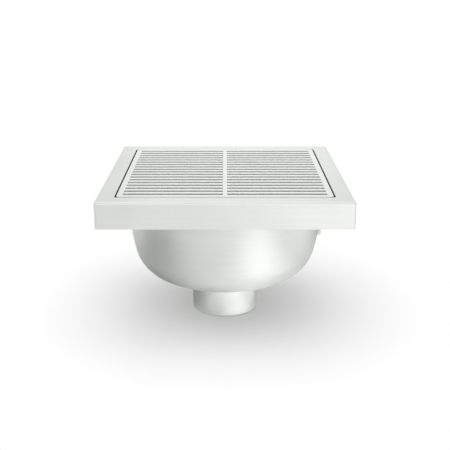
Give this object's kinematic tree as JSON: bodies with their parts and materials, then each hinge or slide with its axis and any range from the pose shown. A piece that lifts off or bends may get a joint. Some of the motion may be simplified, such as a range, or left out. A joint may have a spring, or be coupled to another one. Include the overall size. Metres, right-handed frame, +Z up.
{
  "type": "floor sink",
  "caption": "Square stainless floor sink with a folded rim, a loose flush slotted grate, a round drawn bowl, a lift-out dome strainer and a plain pipe outlet below.",
  "frame": {"origin": "centre of the outlet pipe's lower end, on the bowl's axis, where the part stands on a surface", "axes": "+Z up along the outlet's axis, +X to the right along the slots, front towards -Y"},
  "size_m": [0.305, 0.305, 0.1925],
  "materials": {
    "rim_steel": "satin, brushed along each side",
    "bowl_steel": "satin, spun round the axis",
    "pipe_steel": "satin, drawn pipe",
    "lug_steel": "plain mill finish",
    "grate_steel": "satin, brushed along the slots",
    "strainer_steel": "bright pressed sheet",
    "pad_rubber": "matt moulded rubber"
  },
  "bodies": {
    "sink": {"rim_frame": "rim_steel", "recess_frame": "rim_steel", "seat_plate": "rim_steel", "seat_pads": "pad_rubber", "bowl": "bowl_steel", "outlet_spigot": "pipe_steel", "bonding_lug": "lug_steel"},
    "grate": {"grate_plate": "grate_steel", "grate_side_bars": "grate_steel", "grate_end_bars": "grate_steel", "grate_centre_bar": "grate_steel"},
    "strainer": {"strainer_ring": "strainer_steel", "strainer_legs": "strainer_steel", "strainer_dome": "strainer_steel", "strainer_loop": "strainer_steel"}
  },
  "joints": [
    {"name": "grate_lift", "type": "slide", "parent": "sink", "child": "grate", "axis": [0, 0, 1], "range_m": [0, 0.15]},
    {"name": "strainer_lift", "type": "slide", "parent": "sink", "child": "strainer", "axis": [0, 0, 1], "range_m": [0, 0.075]}
  ]
}
